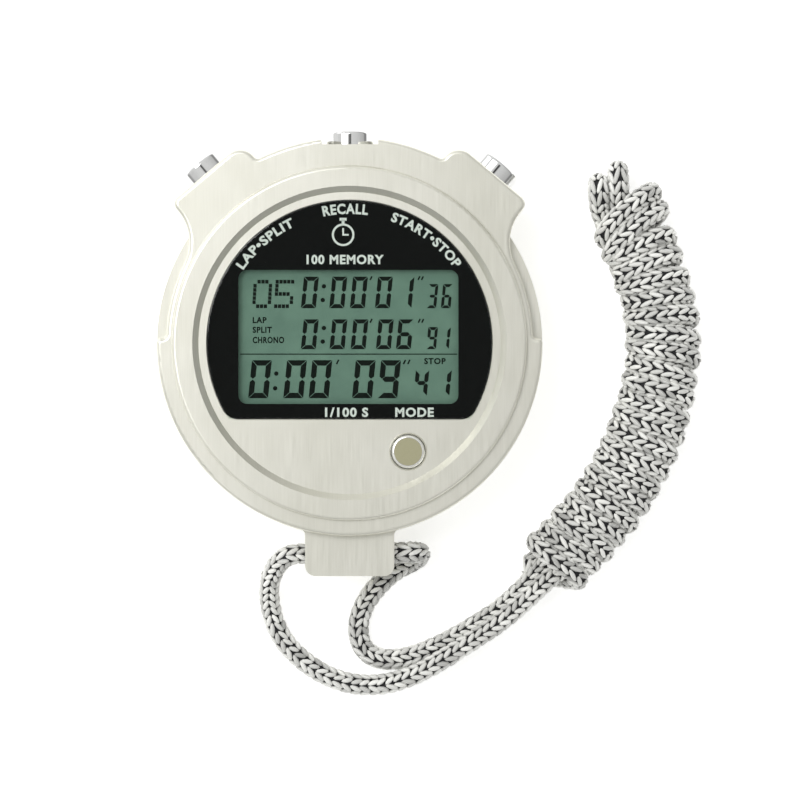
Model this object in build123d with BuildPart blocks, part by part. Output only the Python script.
"""Hand-held digital stopwatch in a metal case, lying on its back with its braided lanyard beside it.

The origin is the middle of the round case on its back plane. +X is to the right of the face, +Y
towards the three push buttons and +Z out of the face. Every length is in millimetres.
"""

from build123d import *
import os
from math import cos, pi, radians, sin, tan

os.makedirs("parts", exist_ok=True)

# ---- driving dimensions --------------------------------------------------------------------

# Case outline, seen from the front
body_radius = 33.0  # the wider lower half
upper_inset = 1.7  # how much narrower the upper half is, above the step at the sides
side_step_y = 0.8
side_step_round = 0.8
hump_rise = 2.2  # the rise over the body that carries the middle button
hump_half_angle = 30.0
lobe_angle = 40.0  # the two corner buttons stand this far either side of +Y
lobe_rise = 5.0  # from the body's round to a lobe's flat
lobe_half_width = 8.0
lobe_round = 1.45
lobe_inner_round = 3.0  # or less, where it would reach down to the notch
waist_round = 8.4  # or less, where the lobe's straight side is too short for it
notch_round = 0.8
recess_rise = 0.95  # from the body's round to the floor of the middle button's recess
recess_margin = 0.9  # from the middle button to the side of its recess

# Case, from the back plane up
back_thickness = 2.4
back_edge_round = 0.7
flange_height = 15.8
flange_round = 0.7
flange_width = 2.7  # from the body's round in to the raised ring
ring_width = 3.5
ring_rise = 1.2  # from the flange up to the top of the ring
ring_round = 0.6
face_depth = 1.0  # from the top of the ring down to the sunken face
face_slope = 1.0  # plan width of the sloping edge round the face
front_wall = 1.8
side_wall = 5.4

# Lanyard lug
lug_width = 15.3
lug_length = 6.9  # from the body's round to the lug's far end
lug_bottom = 5.6
lug_top = 13.4
lug_corner_round = 1.8
lug_root_round = 1.0
lug_hole_radius = 2.3
lug_hole_inset = 3.8  # from the lug's far end to the middle of its hole

# Lens
lens_surround = 1.3  # the flat of the face left outside the lens
lens_foot = 2.7  # from the window's lower edge to the lens's flat side
lens_corner_round = 3.0
lens_ledge = 1.3
lens_seat_depth = 1.0  # from the face down to the seat
lens_thickness = 1.05
lens_edge_bevel = 0.25
lens_clearance = 0.08
gasket_thickness = 0.15
mask_thickness = 0.1
window_width = 37.6
window_height = 22.9
window_x = -0.2
window_y = 1.05
window_round = 1.5

# Display and electronics
display_side_margin = 2.2  # how far the display glass reaches past the window
display_end_margin = 2.05
display_thickness = 1.4
display_head_gap = 0.2  # from the glass to the front wall of the case
display_clearance = 0.2
reflector_thickness = 0.15
strip_width = 2.0
strip_height = 3.0
strip_inset = 0.5
strip_end_inset = 1.0
board_clearance = 3.3  # room for the contacts of the edge buttons, all round the board
board_thickness = 1.0
frame_clearance = 0.6
frame_flange_clearance = 0.2
frame_flange_height = 3.2
cell_radius = 10.0
cell_thickness = 3.2
cell_x = -5.0
cell_y = 5.0
cell_edge = 0.4
cell_gap = 1.5  # the sprung contact between cell and board
cell_strip_length = 12.0
cell_leg_spacing = 7.0
clip_strip_width = 6.0
clip_strip_thickness = 0.3
clip_leg_gap = 1.3
buzzer_radius = 10.0
buzzer_ceramic_radius = 7.0
buzzer_x = 10.0
buzzer_y = -10.0
buzzer_plate = 0.25
buzzer_ceramic = 0.2
buzzer_rim_contact = 8.5  # buzzer's middle to the contact on its brass rim
buzzer_spring_radius = 0.8
buzzer_spring_wire = 0.15
buzzer_spring_turns = 7
chip_radius = 4.6
chip_height = 1.5
chip_edge_round = 1.05
chip_x = 12.6
chip_y = 6.0
crystal_radius = 1.0
crystal_length = 6.0
crystal_edge_round = 0.4
crystal_x = -15.0
crystal_y = -12.5
component_size = (1.6, 0.8, 0.7)
component_pitch = 2.6
components_x = -4.0
components_y = -13.5

# Push buttons on the edge
button_axis_height = 8.0
button_radius = 4.0
button_clearance = 0.1
button_proud = 2.6
button_skirt = 2.7  # how far the cap's skirt reaches into its well
button_crown = 1.2
button_edge_round = 0.6
button_wall = 1.2
button_travel = 1.2
button_well_gap = 0.5  # below the skirt with the button pressed
stem_radius = 1.2
stem_clearance = 0.05
stem_groove_depth = 0.25
bush_wall = 0.18  # round the seal's pocket
bush_reach = 0.2  # how far a bush stands into the cavity
seal_wire = 0.3
seal_clearance = 0.02
seal_pocket_depth = 0.8
clip_radius = 1.5
clip_thickness = 0.4
clip_gap = 0.05
stem_tail = 0.65  # what stands past the clip and presses the contact
contact_thickness = 0.2
contact_width = 3.0
contact_gap = 0.1
contact_overlap = 1.6  # how far a contact's blade reaches past the middle of its stem
contact_foot = 2.4
edge_spring_clearance = 0.25
edge_spring_wire = 0.2
edge_spring_turns = 5

# Mode button on the face
mode_x = 10.0
mode_drop = 5.45  # below the lens's flat side
mode_radius = 2.83
mode_clearance = 0.17
mode_hole_bevel = 0.26
mode_proud = 0.25
mode_travel = 0.6
mode_flange_overlap = 0.6
mode_flange_thickness = 0.6
mode_flange_gap = 0.15
mode_stem_radius = 1.0
mode_dome_clearance = 0.2  # from the dome to the spring round it
mode_dome_tip_radius = 0.5
mode_dome_height = 0.7
mode_edge_round = 0.4
mode_stem_gap = 0.1  # stem to dome with the button pressed
mode_well_clearance = 0.5
mode_spring_radius = 2.2
mode_spring_wire = 0.2
mode_spring_turns = 4

# Screws
screw_radius = 1.0
screw_hole_clearance = 0.15
screw_head_radius = 1.8
screw_head_height = 0.9
screw_length = 6.5
screw_slot_length = 2.34
screw_slot_width = 0.5
screw_slot_depth = 0.4
small_screw_radius = 0.8
small_screw_head_radius = 1.4
small_screw_head_height = 1.0
small_screw_grip = 1.1
board_screw_grip = 2.6
upper_screw_inset = 4.2  # from the hump's round to the upper back screws
upper_screw_angle = 20.0
lower_screw_inset = 2.7  # from the body's round to the lower back screws
lower_screw_angle = 135.0
frame_screw_inset = 1.7
frame_screw_angles = (0.0, 140.0, -140.0)
board_screw_inset = 1.9
board_screw_angles = (-20.0, 20.0, -144.0, 131.5)
seal_groove_gap = 0.3  # from the cavity's wall to the groove
seal_groove_width = 0.9
seal_groove_depth = 0.8
spigot_wall = 1.2
spigot_height = 1.2
spigot_clearance = 0.15

# Lanyard
cord_diameter = 3.5
hank_width = 13.6
hank_height = 10.4
eye_length = 14.0
eye_x = 45.2
eye_y = 25.4
eye_turn = 98.0
eye_round = 1.2

# ---- sizes worked out from them ------------------------------------------------------------

upper_radius = body_radius - upper_inset
hump_radius = body_radius + hump_rise
lobe_distance = body_radius + lobe_rise  # body middle to a lobe's flat
recess_floor = body_radius + recess_rise
lobe_side_end = lobe_distance - lobe_round
waist_room = (lobe_side_end**2 - upper_radius**2 + lobe_half_width**2) / (
    2 * (upper_radius - lobe_half_width)
)  # the round that would use up the whole of the lobe's side
waist_share = 0.95
notch_end = ((hump_radius + notch_round) ** 2 - (lobe_half_width + notch_round) ** 2) ** 0.5
lobe_inner_room = lobe_distance - notch_end  # the round that would reach down to the notch
lobe_inner_share = 0.98
recess_half_width = button_radius + recess_margin
ring_radius = body_radius - flange_width
face_radius = ring_radius - ring_width - face_slope
cavity_radius = body_radius - side_wall
lug_reach = body_radius + lug_length
lug_hole_y = lug_hole_inset - lug_reach
lug_hole_height = (lug_bottom + lug_top) / 2
cord_radius = cord_diameter / 2

ring_height = flange_height + ring_rise
face_height = ring_height - face_depth
cavity_top = face_height - front_wall
lens_radius = face_radius - lens_surround
lens_flat_y = window_y - window_height / 2 - lens_foot
lens_seat_height = face_height - lens_seat_depth

display_width = window_width + 2 * display_side_margin
display_height = window_height + 2 * display_end_margin
display_top = cavity_top - display_head_gap
display_bottom = display_top - display_thickness
strip_length = display_width - 2 * strip_end_inset
board_radius = cavity_radius - board_clearance
board_top = display_bottom - strip_height
board_bottom = board_top - board_thickness
frame_radius = cavity_radius - frame_clearance
frame_flange_radius = cavity_radius - frame_flange_clearance
cell_bottom = board_bottom - cell_gap - cell_thickness
clip_reach = cell_radius + clip_leg_gap + clip_strip_thickness

button_bore_radius = button_radius - button_wall
button_well_depth = button_skirt + button_travel + button_well_gap
edge_spring_radius = button_bore_radius - edge_spring_wire - edge_spring_clearance
seal_pocket_radius = stem_radius + seal_clearance + 2 * seal_wire
bush_radius = seal_pocket_radius + bush_wall

mode_y = lens_flat_y - mode_drop
mode_hole_radius = mode_radius + mode_clearance
mode_top = face_height + mode_proud
mode_flange_radius = mode_hole_radius + mode_flange_overlap
mode_well_radius = mode_flange_radius + mode_well_clearance
mode_dome_radius = mode_spring_radius - mode_spring_wire - mode_dome_clearance
mode_flange_bottom = cavity_top - mode_flange_gap - mode_flange_thickness
mode_stem_end = board_top + mode_dome_height + mode_travel + mode_stem_gap
strip_offset = display_height / 2 - strip_inset - strip_width / 2
reflector_width = 2 * (strip_offset - strip_width / 2) - 2 * strip_inset
display_x = window_x
display_y = window_y
gasket_top = lens_seat_height + gasket_thickness
mask_top = gasket_top + mask_thickness
lens_top = mask_top + lens_thickness
strip_places = [(display_x, display_y + side * strip_offset) for side in (-1, 1)]
seal_groove_inner = cavity_radius + seal_groove_gap
seal_groove_outer = seal_groove_inner + seal_groove_width


def at_angles(distance, angles):
    """Places this far from the middle, at angles from +Y towards +X."""
    return [(distance * sin(radians(angle)), distance * cos(radians(angle))) for angle in angles]


upper_screws = at_angles(hump_radius - upper_screw_inset, (-upper_screw_angle, upper_screw_angle))
lower_screws = at_angles(body_radius - lower_screw_inset, (-lower_screw_angle, lower_screw_angle))
back_screw_places = upper_screws + lower_screws
frame_screw_places = at_angles(frame_radius - frame_screw_inset, frame_screw_angles)
board_screw_places = at_angles(board_radius - board_screw_inset, board_screw_angles)

# name, angle from +Y towards +X, distance from the middle to the flat that its well opens in
edge_buttons = [
    ("lap", -lobe_angle, lobe_distance),
    ("recall", 0.0, recess_floor),
    ("start", lobe_angle, lobe_distance),
]


def button_plane(angle, distance):
    """A plane across a button's axis, facing out of the case, this far from the middle."""
    outward = (sin(radians(angle)), cos(radians(angle)), 0)
    origin = (distance * outward[0], distance * outward[1], button_axis_height)
    return Plane(origin=origin, x_dir=(0, 0, 1), z_dir=outward)


def button_axis(angle):
    return Axis((0, 0, button_axis_height), button_plane(angle, 1).z_dir)


def corner_distance(vertex):
    return (vertex.X**2 + vertex.Y**2) ** 0.5


def at_distance(outline, distance, above=-2 * body_radius, below=2 * body_radius):
    """The outline's corners at this distance from the middle, between two heights on the face."""
    corners = outline.vertices().filter_by(lambda v: abs(corner_distance(v) - distance) < 0.05)
    return corners.filter_by(lambda v: above < v.Y < below)


def cord_radii(points):
    """The largest tangent arc that each corner of a cord's route has room for."""
    radii = []
    for before, corner, after in zip(points, points[1:], points[2:]):
        coming = Vector(*corner) - Vector(*before)
        going = Vector(*after) - Vector(*corner)
        shorter = min(coming.length, going.length)
        radii.append(0.45 * shorter / tan(radians(coming.get_angle(going) / 2)))
    return radii


# ---- outlines that several pieces share ----------------------------------------------------

with BuildSketch() as case_outline:
    Circle(body_radius)
    with Locations((0, side_step_y)):
        Rectangle(3 * body_radius, 2 * body_radius, align=(Align.CENTER, Align.MIN), mode=Mode.SUBTRACT)
    Circle(upper_radius)
    with BuildLine():
        hump = CenterArc((0, 0), hump_radius, 90 - hump_half_angle, 2 * hump_half_angle)
        Line((0, 0), hump @ 0)
        Line(hump @ 1, (0, 0))
    make_face()
    with Locations(*(Location((0, 0, 0), (0, 0, turn)) for turn in (-lobe_angle, lobe_angle))):
        Rectangle(2 * lobe_half_width, lobe_distance, align=(Align.CENTER, Align.MIN))
    lobe_corners = case_outline.vertices().filter_by(lambda v: corner_distance(v) > lobe_distance)
    fillet(lobe_corners.sort_by(Axis.Y)[:2], radius=lobe_round)
    fillet(
        case_outline.vertices().sort_by(Axis.Y)[-2:],
        radius=min(lobe_inner_round, lobe_inner_share * lobe_inner_room),
    )
    fillet(
        at_distance(case_outline, upper_radius, above=body_radius / 4),
        radius=min(waist_round, waist_share * waist_room),
    )
    fillet(at_distance(case_outline, hump_radius, above=body_radius / 4), radius=notch_round)
    fillet(at_distance(case_outline, body_radius), radius=side_step_round)
    fillet(at_distance(case_outline, upper_radius, above=-1, below=body_radius / 4), radius=side_step_round)

with BuildSketch() as lens_outline:
    Circle(lens_radius)
    with Locations((0, lens_flat_y)):
        Rectangle(3 * lens_radius, 2 * lens_radius, align=(Align.CENTER, Align.MAX), mode=Mode.SUBTRACT)
    fillet(lens_outline.vertices(), radius=lens_corner_round)

# ---- case ----------------------------------------------------------------------------------

with BuildPart() as case_front:
    with BuildSketch(Plane.XY.offset(back_thickness)):
        add(case_outline.sketch)
    extrude(amount=flange_height - back_thickness)
    fillet(case_front.edges().group_by(Axis.Z)[-1], radius=flange_round)
    # the raised ring on the face, and the sunken middle inside its sloping edge
    with BuildSketch(Plane.XY.offset(cavity_top)):
        Circle(ring_radius)
    extrude(amount=ring_height - cavity_top)
    fillet(case_front.edges().group_by(Axis.Z)[-1], radius=ring_round)
    with Locations((0, 0, face_height)):
        Cone(
            face_radius,
            face_radius + face_slope,
            ring_height - face_height,
            align=(Align.CENTER, Align.CENTER, Align.MIN),
            mode=Mode.SUBTRACT,
        )
    # the lug that holds the lanyard
    with BuildSketch(Plane.XY.offset(lug_bottom)) as lug_outline:
        Circle(body_radius)
        Rectangle(lug_width, lug_reach, align=(Align.CENTER, Align.MAX))
        fillet(at_distance(lug_outline, body_radius), radius=lug_root_round)
        fillet(lug_outline.vertices().sort_by(Axis.Y)[:2], radius=lug_corner_round)
    extrude(amount=lug_top - lug_bottom)
    with BuildSketch(Plane.YZ.offset(-lug_width / 2)):
        with Locations((lug_hole_y, lug_hole_height)):
            Circle(lug_hole_radius)
    extrude(amount=lug_width, mode=Mode.SUBTRACT)
    # the flat that the middle button stands on
    with BuildSketch(Plane.XY.offset(back_thickness)):
        with Locations((0, recess_floor)):
            Rectangle(2 * recess_half_width, lug_reach, align=(Align.CENTER, Align.MIN))
    extrude(amount=flange_height, mode=Mode.SUBTRACT)
    # the hollow for the movement, open at the back, and the seat and opening for the lens
    with BuildSketch(Plane.XY.offset(back_thickness)):
        Circle(cavity_radius)
    extrude(amount=cavity_top - back_thickness, mode=Mode.SUBTRACT)
    with BuildSketch(Plane.XY.offset(lens_seat_height)):
        add(lens_outline.sketch)
    extrude(amount=ring_height - lens_seat_height, mode=Mode.SUBTRACT)
    with BuildSketch(Plane.XY.offset(back_thickness)):
        offset(lens_outline.sketch, amount=-lens_ledge)
    extrude(amount=lens_seat_height, mode=Mode.SUBTRACT)
    # wells, bush holes for the edge buttons, and the hole for the mode button
    for _, angle, flat in edge_buttons:
        with BuildSketch(button_plane(angle, flat)):
            Circle(button_radius + button_clearance)
        extrude(amount=-button_well_depth, mode=Mode.SUBTRACT)
        with BuildSketch(button_plane(angle, flat)):
            Circle(bush_radius)
        extrude(amount=-flat / 2, mode=Mode.SUBTRACT)
    with Locations((mode_x, mode_y, face_height)):
        Cone(
            mode_hole_radius,
            mode_hole_radius + mode_hole_bevel,
            mode_hole_bevel,
            align=(Align.CENTER, Align.CENTER, Align.MAX),
            mode=Mode.SUBTRACT,
        )
        Cylinder(mode_hole_radius, 3 * front_wall, mode=Mode.SUBTRACT)
    # threads for the back screws and the movement screws, and the groove for the back seal
    with Locations(*((x, y, back_thickness) for x, y in back_screw_places)):
        Cylinder(
            screw_radius,
            screw_length - back_thickness,
            align=(Align.CENTER, Align.CENTER, Align.MIN),
            mode=Mode.SUBTRACT,
        )
    with Locations(*((x, y, cavity_top) for x, y in frame_screw_places)):
        Cylinder(
            small_screw_radius,
            small_screw_grip,
            align=(Align.CENTER, Align.CENTER, Align.MIN),
            mode=Mode.SUBTRACT,
        )
    with BuildSketch(Plane.XY.offset(back_thickness)):
        Circle(seal_groove_outer)
        Circle(seal_groove_inner, mode=Mode.SUBTRACT)
    extrude(amount=seal_groove_depth, mode=Mode.SUBTRACT)
case_front.part.label = "case_front"
export_step(case_front.part, "parts/case_front.step")

with BuildPart() as case_back:
    with BuildSketch():
        add(case_outline.sketch)
    extrude(amount=back_thickness)
    fillet(case_back.edges().group_by(Axis.Z)[0], radius=back_edge_round)
    with BuildSketch():
        with Locations((0, recess_floor)):
            Rectangle(2 * recess_half_width, lug_reach, align=(Align.CENTER, Align.MIN))
    extrude(amount=back_thickness, mode=Mode.SUBTRACT)
    # the rim that centres the back in the case
    with BuildSketch(Plane.XY.offset(back_thickness)):
        Circle(cavity_radius - spigot_clearance)
        Circle(cavity_radius - spigot_clearance - spigot_wall, mode=Mode.SUBTRACT)
    extrude(amount=spigot_height)
    with Locations(*((x, y, 0) for x, y in back_screw_places)):
        Cylinder(screw_radius + screw_hole_clearance, 3 * back_thickness, mode=Mode.SUBTRACT)
        Cone(
            screw_head_radius,
            screw_radius,
            screw_head_height,
            align=(Align.CENTER, Align.CENTER, Align.MIN),
            mode=Mode.SUBTRACT,
        )
case_back.part.label = "case_back"
export_step(case_back.part, "parts/case_back.step")

with BuildPart() as back_gasket:
    with BuildSketch(Plane.XY.offset(back_thickness)):
        Circle(seal_groove_outer)
        Circle(seal_groove_inner, mode=Mode.SUBTRACT)
    extrude(amount=seal_groove_depth)
back_gasket.part.label = "back_gasket"
export_step(back_gasket.part, "parts/back_gasket.step")

with BuildPart() as back_screws:
    for x, y in back_screw_places:
        with Locations((x, y, 0)):
            Cone(
                screw_head_radius,
                screw_radius,
                screw_head_height,
                align=(Align.CENTER, Align.CENTER, Align.MIN),
            )
            Cylinder(screw_radius, screw_length, align=(Align.CENTER, Align.CENTER, Align.MIN))
            for turn in (0, 90):
                Box(
                    screw_slot_length,
                    screw_slot_width,
                    2 * screw_slot_depth,
                    rotation=(0, 0, turn),
                    mode=Mode.SUBTRACT,
                )
back_screws.part.label = "back_screws"
export_step(back_screws.part, "parts/back_screws.step")

# ---- lens and its printed mask -------------------------------------------------------------

with BuildPart() as lens_gasket:
    with BuildSketch(Plane.XY.offset(lens_seat_height)):
        offset(lens_outline.sketch, amount=-lens_clearance)
        offset(lens_outline.sketch, amount=-lens_ledge, mode=Mode.SUBTRACT)
    extrude(amount=gasket_thickness)
lens_gasket.part.label = "lens_gasket"
export_step(lens_gasket.part, "parts/lens_gasket.step")

with BuildPart() as lens_mask:
    with BuildSketch(Plane.XY.offset(gasket_top)):
        offset(lens_outline.sketch, amount=-lens_clearance)
        with Locations((window_x, window_y)):
            RectangleRounded(window_width, window_height, window_round, mode=Mode.SUBTRACT)
    extrude(amount=mask_thickness)
lens_mask.part.label = "lens_mask"
export_step(lens_mask.part, "parts/lens_mask.step")

with BuildPart() as lens:
    with BuildSketch(Plane.XY.offset(mask_top)):
        offset(lens_outline.sketch, amount=-lens_clearance)
    extrude(amount=lens_thickness)
    chamfer(lens.edges().group_by(Axis.Z)[-1], length=lens_edge_bevel)
lens.part.label = "lens"
export_step(lens.part, "parts/lens.step")

# ---- display and movement ------------------------------------------------------------------

with BuildPart() as display_glass:
    with BuildSketch(Plane.XY.offset(display_bottom)):
        with Locations((display_x, display_y)):
            Rectangle(display_width, display_height)
    extrude(amount=display_thickness)
display_glass.part.label = "display_glass"
export_step(display_glass.part, "parts/display_glass.step")

with BuildPart() as display_reflector:
    with BuildSketch(Plane.XY.offset(display_bottom - reflector_thickness)):
        with Locations((display_x, display_y)):
            Rectangle(strip_length, reflector_width)
    extrude(amount=reflector_thickness)
display_reflector.part.label = "display_reflector"
export_step(display_reflector.part, "parts/display_reflector.step")

with BuildPart() as contact_strips:
    with BuildSketch(Plane.XY.offset(board_top)):
        with Locations(*strip_places):
            Rectangle(strip_length, strip_width)
    extrude(amount=display_bottom - board_top)
contact_strips.part.label = "contact_strips"
export_step(contact_strips.part, "parts/contact_strips.step")

with BuildPart() as movement_frame:
    with BuildSketch(Plane.XY.offset(board_top)):
        Circle(frame_radius)
    extrude(amount=cavity_top - board_top)
    with BuildSketch(Plane.XY.offset(cavity_top)):
        Circle(frame_flange_radius)
    extrude(amount=-frame_flange_height)
    with BuildSketch(Plane.XY.offset(display_bottom - reflector_thickness)):
        with Locations((display_x, display_y)):
            Rectangle(display_width + 2 * display_clearance, display_height + 2 * display_clearance)
    extrude(amount=cavity_top, mode=Mode.SUBTRACT)
    with BuildSketch(Plane.XY.offset(board_top)):
        with Locations(*strip_places):
            Rectangle(strip_length + 2 * display_clearance, strip_width + display_clearance)
        with Locations((mode_x, mode_y)):
            Circle(mode_well_radius)
    extrude(amount=cavity_top, mode=Mode.SUBTRACT)
    with Locations(*((x, y, board_top) for x, y in frame_screw_places)):
        Cylinder(small_screw_radius, 3 * frame_flange_height, mode=Mode.SUBTRACT)
        Cylinder(
            small_screw_head_radius,
            small_screw_head_height,
            align=(Align.CENTER, Align.CENTER, Align.MIN),
            mode=Mode.SUBTRACT,
        )
    with Locations(*((x, y, board_top) for x, y in board_screw_places)):
        Cylinder(
            small_screw_radius,
            board_screw_grip,
            align=(Align.CENTER, Align.CENTER, Align.MIN),
            mode=Mode.SUBTRACT,
        )
movement_frame.part.label = "movement_frame"
export_step(movement_frame.part, "parts/movement_frame.step")

with BuildPart() as movement_screws:
    with Locations(*((x, y, board_top) for x, y in frame_screw_places)):
        Cylinder(
            small_screw_head_radius,
            small_screw_head_height,
            align=(Align.CENTER, Align.CENTER, Align.MIN),
        )
        Cylinder(
            small_screw_radius,
            cavity_top + small_screw_grip - board_top,
            align=(Align.CENTER, Align.CENTER, Align.MIN),
        )
        Box(2 * small_screw_head_radius, screw_slot_width, 2 * screw_slot_depth, mode=Mode.SUBTRACT)
movement_screws.part.label = "movement_screws"
export_step(movement_screws.part, "parts/movement_screws.step")

with BuildPart() as circuit_board:
    with BuildSketch(Plane.XY.offset(board_bottom)):
        Circle(board_radius)
        with Locations(*board_screw_places):
            Circle(small_screw_radius, mode=Mode.SUBTRACT)
    extrude(amount=board_thickness)
circuit_board.part.label = "circuit_board"
export_step(circuit_board.part, "parts/circuit_board.step")

with BuildPart() as board_screws:
    with Locations(*((x, y, board_bottom) for x, y in board_screw_places)):
        Cylinder(
            small_screw_head_radius,
            small_screw_head_height,
            align=(Align.CENTER, Align.CENTER, Align.MAX),
        )
        Cylinder(
            small_screw_radius,
            board_thickness + board_screw_grip,
            align=(Align.CENTER, Align.CENTER, Align.MIN),
        )
    with Locations(*((x, y, board_bottom - small_screw_head_height) for x, y in board_screw_places)):
        Box(2 * small_screw_head_radius, screw_slot_width, 2 * screw_slot_depth, mode=Mode.SUBTRACT)
board_screws.part.label = "board_screws"
export_step(board_screws.part, "parts/board_screws.step")

with BuildPart() as chip_cover:
    with Locations((chip_x, chip_y, board_bottom)):
        Cylinder(chip_radius, chip_height, align=(Align.CENTER, Align.CENTER, Align.MAX))
    fillet(chip_cover.edges().group_by(Axis.Z)[0], radius=chip_edge_round)
chip_cover.part.label = "chip_cover"
export_step(chip_cover.part, "parts/chip_cover.step")

with BuildPart() as quartz_crystal:
    with BuildSketch(Plane.YZ.offset(crystal_x)):
        with Locations((crystal_y, board_bottom - crystal_radius)):
            Circle(crystal_radius)
    extrude(amount=crystal_length)
    fillet(quartz_crystal.edges().sort_by(Axis.X)[0], radius=crystal_edge_round)
quartz_crystal.part.label = "quartz_crystal"
export_step(quartz_crystal.part, "parts/quartz_crystal.step")

with BuildPart() as board_components:
    with Locations((components_x, components_y, board_bottom)):
        with GridLocations(component_pitch, component_pitch, 3, 2):
            Box(*component_size, align=(Align.CENTER, Align.CENTER, Align.MAX))
board_components.part.label = "board_components"
export_step(board_components.part, "parts/board_components.step")

with BuildPart() as coin_cell:
    with Locations((cell_x, cell_y, board_bottom - cell_gap)):
        Cylinder(cell_radius, cell_thickness, align=(Align.CENTER, Align.CENTER, Align.MAX))
    chamfer(coin_cell.edges().group_by(Axis.Z)[-1], length=cell_edge)
    fillet(coin_cell.edges().group_by(Axis.Z)[0], radius=cell_edge)
coin_cell.part.label = "coin_cell"
export_step(coin_cell.part, "parts/coin_cell.step")

with BuildPart() as cell_contact:
    with BuildSketch(Plane.XY.offset(board_bottom - cell_gap)):
        with Locations((cell_x, cell_y)):
            SlotOverall(cell_strip_length, clip_strip_width)
    extrude(amount=contact_thickness)
    with BuildSketch(Plane.XY.offset(board_bottom - cell_gap)):
        with Locations((cell_x, cell_y)):
            with GridLocations(cell_leg_spacing, 0, 2, 1):
                Rectangle(contact_thickness, clip_strip_width / 2)
    extrude(amount=cell_gap)
cell_contact.part.label = "cell_contact"
export_step(cell_contact.part, "parts/cell_contact.step")

with BuildPart() as cell_clip:
    with BuildSketch(Plane.XY.offset(cell_bottom - clip_strip_thickness)):
        with Locations((cell_x, cell_y)):
            Rectangle(clip_strip_width, 2 * clip_reach)
    extrude(amount=clip_strip_thickness)
    with BuildSketch(Plane.XY.offset(cell_bottom - clip_strip_thickness)):
        with Locations((cell_x, cell_y)):
            with GridLocations(0, 2 * clip_reach - clip_strip_thickness, 1, 2):
                Rectangle(clip_strip_width, clip_strip_thickness)
    extrude(amount=board_bottom - cell_bottom + clip_strip_thickness)
cell_clip.part.label = "cell_clip"
export_step(cell_clip.part, "parts/cell_clip.step")

with BuildPart() as buzzer_disc:
    with Locations((buzzer_x, buzzer_y, back_thickness)):
        Cylinder(buzzer_radius, buzzer_plate, align=(Align.CENTER, Align.CENTER, Align.MIN))
        Cylinder(
            buzzer_ceramic_radius,
            buzzer_plate + buzzer_ceramic,
            align=(Align.CENTER, Align.CENTER, Align.MIN),
        )
buzzer_disc.part.label = "buzzer_disc"
export_step(buzzer_disc.part, "parts/buzzer_disc.step")


def coil_spring(radius, wire, turns, start, end):
    """A coil of round wire whose ends touch the planes at start and end."""
    axis = (end - start).normalized()
    height = (end - start).length - 2 * wire
    with BuildPart() as coil:
        with BuildLine() as turn_line:
            Helix(height / turns, height, radius, center=start + axis * wire, direction=axis)
        with BuildSketch(Plane(origin=turn_line.line @ 0, z_dir=turn_line.line % 0)):
            Circle(wire)
        sweep(is_frenet=True)
    return coil.part


buzzer_coils = [
    coil_spring(
        buzzer_spring_radius,
        buzzer_spring_wire,
        buzzer_spring_turns,
        Vector(buzzer_x, buzzer_y - distance, back_thickness + seat),
        Vector(buzzer_x, buzzer_y - distance, board_bottom),
    )
    for distance, seat in ((0, buzzer_plate + buzzer_ceramic), (buzzer_rim_contact, buzzer_plate))
]
with BuildPart() as buzzer_springs:
    add(buzzer_coils)
buzzer_springs.part.label = "buzzer_springs"
export_step(buzzer_springs.part, "parts/buzzer_springs.step")

# ---- push buttons on the edge --------------------------------------------------------------

bush_inner_end = cavity_radius - bush_reach
clip_face = bush_inner_end - clip_gap
stem_end = clip_face - clip_thickness - stem_tail

for name, angle, flat in edge_buttons:
    well_floor = flat - button_well_depth
    crown_inside = flat + button_proud - button_crown

    with BuildPart() as button_cap:
        with BuildSketch(button_plane(angle, flat - button_skirt)):
            Circle(button_radius)
        extrude(amount=button_skirt + button_proud)
        fillet(button_cap.faces().sort_by(button_axis(angle))[-1].edges(), radius=button_edge_round)
        with BuildSketch(button_plane(angle, flat - button_skirt)):
            Circle(button_bore_radius)
        extrude(amount=crown_inside - flat + button_skirt, mode=Mode.SUBTRACT)
    button_cap.part.label = f"{name}_button"
    export_step(button_cap.part, f"parts/{name}_button.step")

    with BuildPart() as button_stem:
        with BuildSketch(button_plane(angle, stem_end)):
            Circle(stem_radius)
        extrude(amount=crown_inside - stem_end)
        with BuildSketch(button_plane(angle, clip_face)):
            Circle(2 * stem_radius)
            Circle(stem_radius - stem_groove_depth, mode=Mode.SUBTRACT)
        extrude(amount=-clip_thickness, mode=Mode.SUBTRACT)
    button_stem.part.label = f"{name}_stem"
    export_step(button_stem.part, f"parts/{name}_stem.step")

    with BuildPart() as stem_clip:
        with BuildSketch(button_plane(angle, clip_face)):
            Circle(clip_radius)
            Circle(stem_radius - stem_groove_depth, mode=Mode.SUBTRACT)
            with Locations((clip_radius, 0)):
                Rectangle(2 * clip_radius, stem_radius, mode=Mode.SUBTRACT)
        extrude(amount=-clip_thickness)
    stem_clip.part.label = f"{name}_clip"
    export_step(stem_clip.part, f"parts/{name}_clip.step")

    with BuildPart() as stem_seal:
        with BuildSketch(Plane.XZ):
            with Locations((stem_radius + seal_clearance + seal_wire, 0)):
                Circle(seal_wire)
        revolve(axis=Axis.Z)
    seal_plane = button_plane(angle, well_floor - seal_pocket_depth / 2)
    stem_seal.part.label = f"{name}_seal"
    export_step(seal_plane * stem_seal.part, f"parts/{name}_seal.step")

    # drawn at its pressed length, so it stays clear of the cap at every height
    button_spring = coil_spring(
        edge_spring_radius,
        edge_spring_wire,
        edge_spring_turns,
        button_plane(angle, well_floor).origin,
        button_plane(angle, crown_inside - button_travel).origin,
    )
    button_spring.label = f"{name}_spring"
    export_step(button_spring, f"parts/{name}_spring.step")

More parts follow.
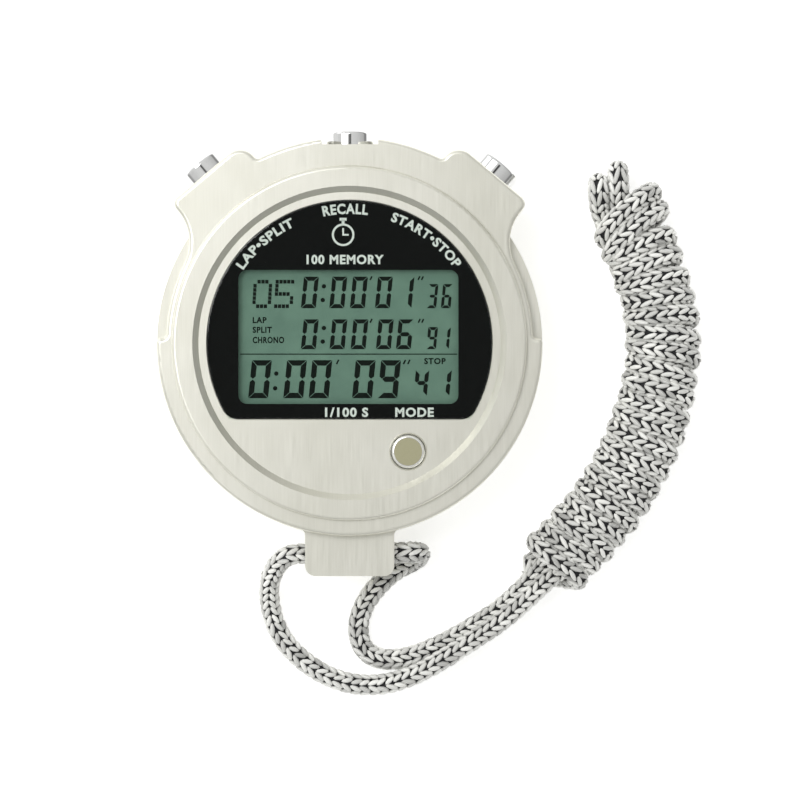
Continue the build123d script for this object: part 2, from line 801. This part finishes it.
with BuildPart() as button_bushes:
    for _, angle, flat in edge_buttons:
        well_floor = flat - button_well_depth
        with BuildSketch(button_plane(angle, bush_inner_end)):
            Circle(bush_radius)
        extrude(amount=well_floor - bush_inner_end)
        with BuildSketch(button_plane(angle, bush_inner_end)):
            Circle(stem_radius + stem_clearance)
        extrude(amount=well_floor, mode=Mode.SUBTRACT)
        with BuildSketch(button_plane(angle, well_floor)):
            Circle(seal_pocket_radius)
        extrude(amount=-seal_pocket_depth, mode=Mode.SUBTRACT)
button_bushes.part.label = "button_bushes"
export_step(button_bushes.part, "parts/button_bushes.step")

with BuildPart() as button_contacts:
    contact_face = stem_end - button_travel - contact_gap
    blade_height = board_bottom - button_axis_height
    for _, angle, _ in edge_buttons:
        across = button_plane(angle, contact_face)
        with BuildSketch(across):
            with Locations((blade_height, 0)):
                Rectangle(
                    blade_height + contact_overlap, contact_width, align=(Align.MAX, Align.CENTER)
                )
        extrude(amount=-contact_thickness)
        with BuildSketch(across):
            with Locations((blade_height, 0)):
                Rectangle(contact_thickness, contact_width, align=(Align.MAX, Align.CENTER))
        extrude(amount=-contact_foot)
button_contacts.part.label = "button_contacts"
export_step(button_contacts.part, "parts/button_contacts.step")

# ---- mode button on the face ---------------------------------------------------------------

with BuildPart() as mode_button:
    with Locations((mode_x, mode_y, mode_flange_bottom)):
        Cylinder(
            mode_radius,
            mode_top - mode_flange_bottom,
            align=(Align.CENTER, Align.CENTER, Align.MIN),
        )
    fillet(mode_button.edges().group_by(Axis.Z)[-1], radius=mode_edge_round)
    with Locations((mode_x, mode_y, mode_flange_bottom)):
        Cylinder(
            mode_flange_radius,
            mode_flange_thickness,
            align=(Align.CENTER, Align.CENTER, Align.MIN),
        )
        Cylinder(
            mode_stem_radius,
            mode_flange_bottom - mode_stem_end,
            align=(Align.CENTER, Align.CENTER, Align.MAX),
        )
mode_button.part.label = "mode_button"
export_step(mode_button.part, "parts/mode_button.step")

mode_spring = coil_spring(
    mode_spring_radius,
    mode_spring_wire,
    mode_spring_turns,
    Vector(mode_x, mode_y, board_top),
    Vector(mode_x, mode_y, mode_flange_bottom),
)
mode_spring.label = "mode_spring"
export_step(mode_spring, "parts/mode_spring.step")

with BuildPart() as mode_dome:
    with Locations((mode_x, mode_y, board_top)):
        Cone(
            mode_dome_radius,
            mode_dome_tip_radius,
            mode_dome_height,
            align=(Align.CENTER, Align.CENTER, Align.MIN),
        )
mode_dome.part.label = "mode_dome"
export_step(mode_dome.part, "parts/mode_dome.step")

# ---- lanyard -------------------------------------------------------------------------------

with BuildPart() as lanyard_in_lug:
    with BuildSketch(Plane.YZ.offset(-lug_width / 2)):
        with Locations((lug_hole_y, lug_hole_height)):
            Circle(cord_radius)
    extrude(amount=lug_width)
lanyard_in_lug.part.label = "lanyard_in_lug"
export_step(lanyard_in_lug.part, "parts/lanyard_in_lug.step")

left_strand = [
    (-lug_width / 2, lug_hole_y, lug_hole_height),
    (-11.4, -36.4, 9.1),
    (-14.0, -40.1, 4.8),
    (-14.2, -45.0, cord_radius),
    (-12.6, -50.6, cord_radius),
    (-8.0, -55.6, cord_radius),
    (-1.6, -59.0, cord_radius),
    (5.6, -59.5, cord_radius),
    (12.4, -57.0, 4.3),
    (19.8, -52.3, 4.5),
    (27.0, -47.6, 4.6),
    (33.3, -41.6, 5.0),
]
right_strand = [
    (lug_width / 2, lug_hole_y, lug_hole_height),
    (10.7, -36.0, 9.5),
    (13.4, -36.3, 6.1),
    (12.5, -37.7, 2.6),
    (7.8, -39.4, cord_radius),
    (3.2, -43.6, cord_radius),
    (1.0, -48.6, cord_radius),
    (2.0, -53.6, cord_radius),
    (6.8, -55.3, cord_radius),
    (13.6, -53.4, cord_radius),
    (20.6, -49.7, cord_radius),
    (26.6, -45.8, cord_radius),
    (32.0, -40.6, 2.6),
]

for name, route in (("left", left_strand), ("right", right_strand)):
    radii = cord_radii(route)
    with BuildPart() as strand:
        with BuildLine():
            path = FilletPolyline(*route, radius=radii)
        with BuildSketch(Plane(origin=path @ 0, z_dir=path % 0)):
            Circle(cord_radius)
        sweep()
    drawn = pi * cord_radius**2 * path.length
    print(f"lanyard_{name}: {path.length:.1f} mm, volume {strand.part.volume:.1f} of {drawn:.1f}")
    print("  radii", [round(radius, 1) for radius in radii])
    strand.part.label = f"lanyard_{name}"
    export_step(strand.part, f"parts/lanyard_{name}.step")

# the hank: the rest of the lanyard wound round itself, as one solid of its outer shape
hank_route = [
    (32.6, -40.6),
    (42.4, -31.2),
    (50.0, -19.4),
    (54.2, -5.6),
    (54.2, 8.0),
    (47.6, 23.2),
]

with BuildPart() as lanyard_hank:
    with BuildLine(Plane.XY.offset(hank_height / 2)):
        hank_path = FilletPolyline(*hank_route, radius=cord_radii([(x, y, 0) for x, y in hank_route]))
    with BuildSketch(Plane(origin=hank_path @ 0, x_dir=(0, 0, 1), z_dir=hank_path % 0)):
        Ellipse(hank_height / 2, hank_width / 2)
    sweep()
lanyard_hank.part.label = "lanyard_hank"
export_step(lanyard_hank.part, "parts/lanyard_hank.step")

# the eye: both strands, out along the table and back on top of themselves
with BuildPart() as lanyard_eye:
    with BuildSketch():
        with Locations((eye_x, eye_y)):
            SlotOverall(eye_length, 2 * cord_diameter, rotation=eye_turn)
    extrude(amount=2 * cord_diameter)
    levels = lanyard_eye.edges().group_by(Axis.Z)
    fillet(levels[0] + levels[-1], radius=eye_round)
    add(lanyard_hank.part, mode=Mode.SUBTRACT)
lanyard_eye.part.label = "lanyard_eye"
export_step(lanyard_eye.part, "parts/lanyard_eye.step")
